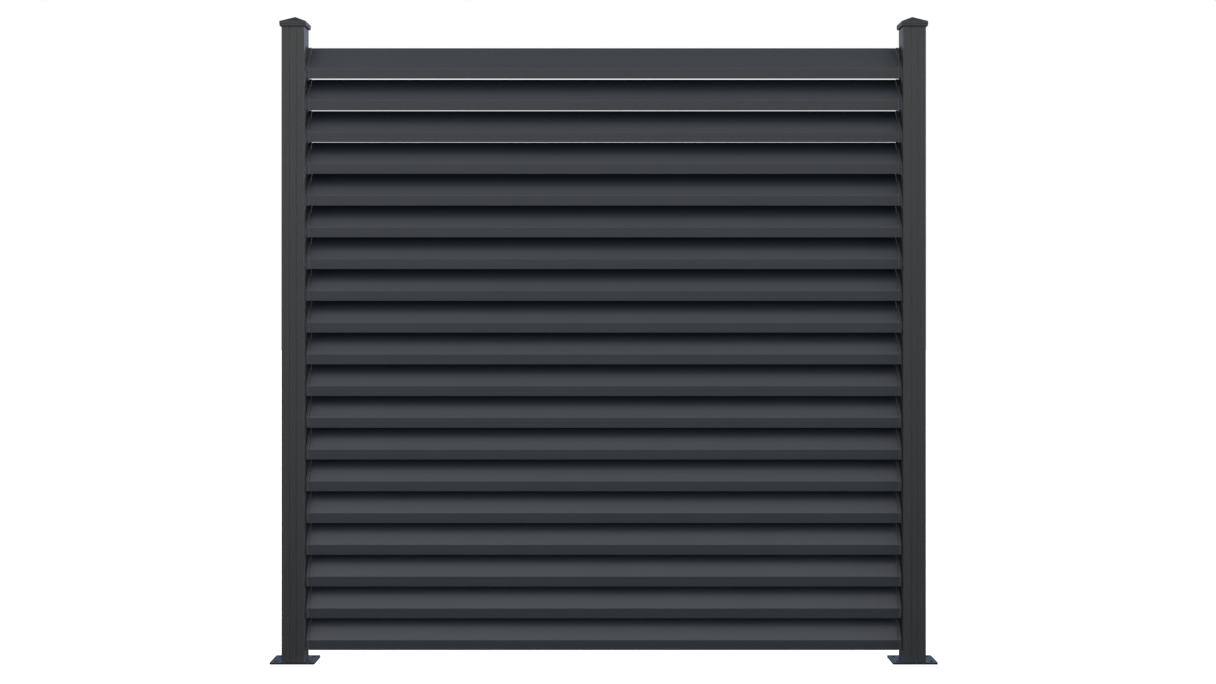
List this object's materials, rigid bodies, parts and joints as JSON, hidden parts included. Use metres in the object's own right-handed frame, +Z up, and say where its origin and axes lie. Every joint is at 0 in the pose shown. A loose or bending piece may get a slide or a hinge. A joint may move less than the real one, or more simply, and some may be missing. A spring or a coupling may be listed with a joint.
{
  "type": "louvred aluminium garden fence bay",
  "caption": "Louvred privacy fence bay: fixed sloping slats with upright front lips, held in end caps between square capped posts on bolt-down base plates.",
  "frame": {"origin": "centre of the left base plate's underside, on the ground line under the left post's centre", "axes": "+X along the bay from the left post to the right post, +Y from the front (the slats' lip side) to the back, +Z up"},
  "size_m": [2.0005, 0.098, 1.9466],
  "materials": {
    "post_coat": "matte",
    "strip_coat": "matte",
    "cap_coat": "satin",
    "plate_coat": "satin",
    "slat_coat": "matte",
    "end_cap_plastic": "matte"
  },
  "bodies": {
    "root": {"base_plate_left": "plate_coat", "base_plate_right": "plate_coat", "post_left": "post_coat", "post_right": "post_coat", "post_cap_left": "cap_coat", "post_cap_right": "cap_coat", "side_rail_left": "post_coat", "side_rail_right": "post_coat", "slat_end_caps_left": "end_cap_plastic", "slat_end_caps_right": "end_cap_plastic", "cover_strip_left_front": "strip_coat", "cover_strip_right_front": "strip_coat", "cover_strip_left_inner": "strip_coat", "cover_strip_right_inner": "strip_coat", "cover_strip_left_back": "strip_coat", "cover_strip_right_back": "strip_coat", "cover_strip_left_outer": "strip_coat", "cover_strip_right_outer": "strip_coat", "slat_01": "slat_coat", "slat_02": "slat_coat", "slat_03": "slat_coat", "slat_04": "slat_coat", "slat_05": "slat_coat", "slat_06": "slat_coat", "slat_07": "slat_coat", "slat_08": "slat_coat", "slat_09": "slat_coat", "slat_10": "slat_coat", "slat_11": "slat_coat", "slat_12": "slat_coat", "slat_13": "slat_coat", "slat_14": "slat_coat", "slat_15": "slat_coat", "slat_16": "slat_coat", "slat_17": "slat_coat", "slat_18": "slat_coat", "slat_19": "slat_coat"}
  },
  "joints": []
}
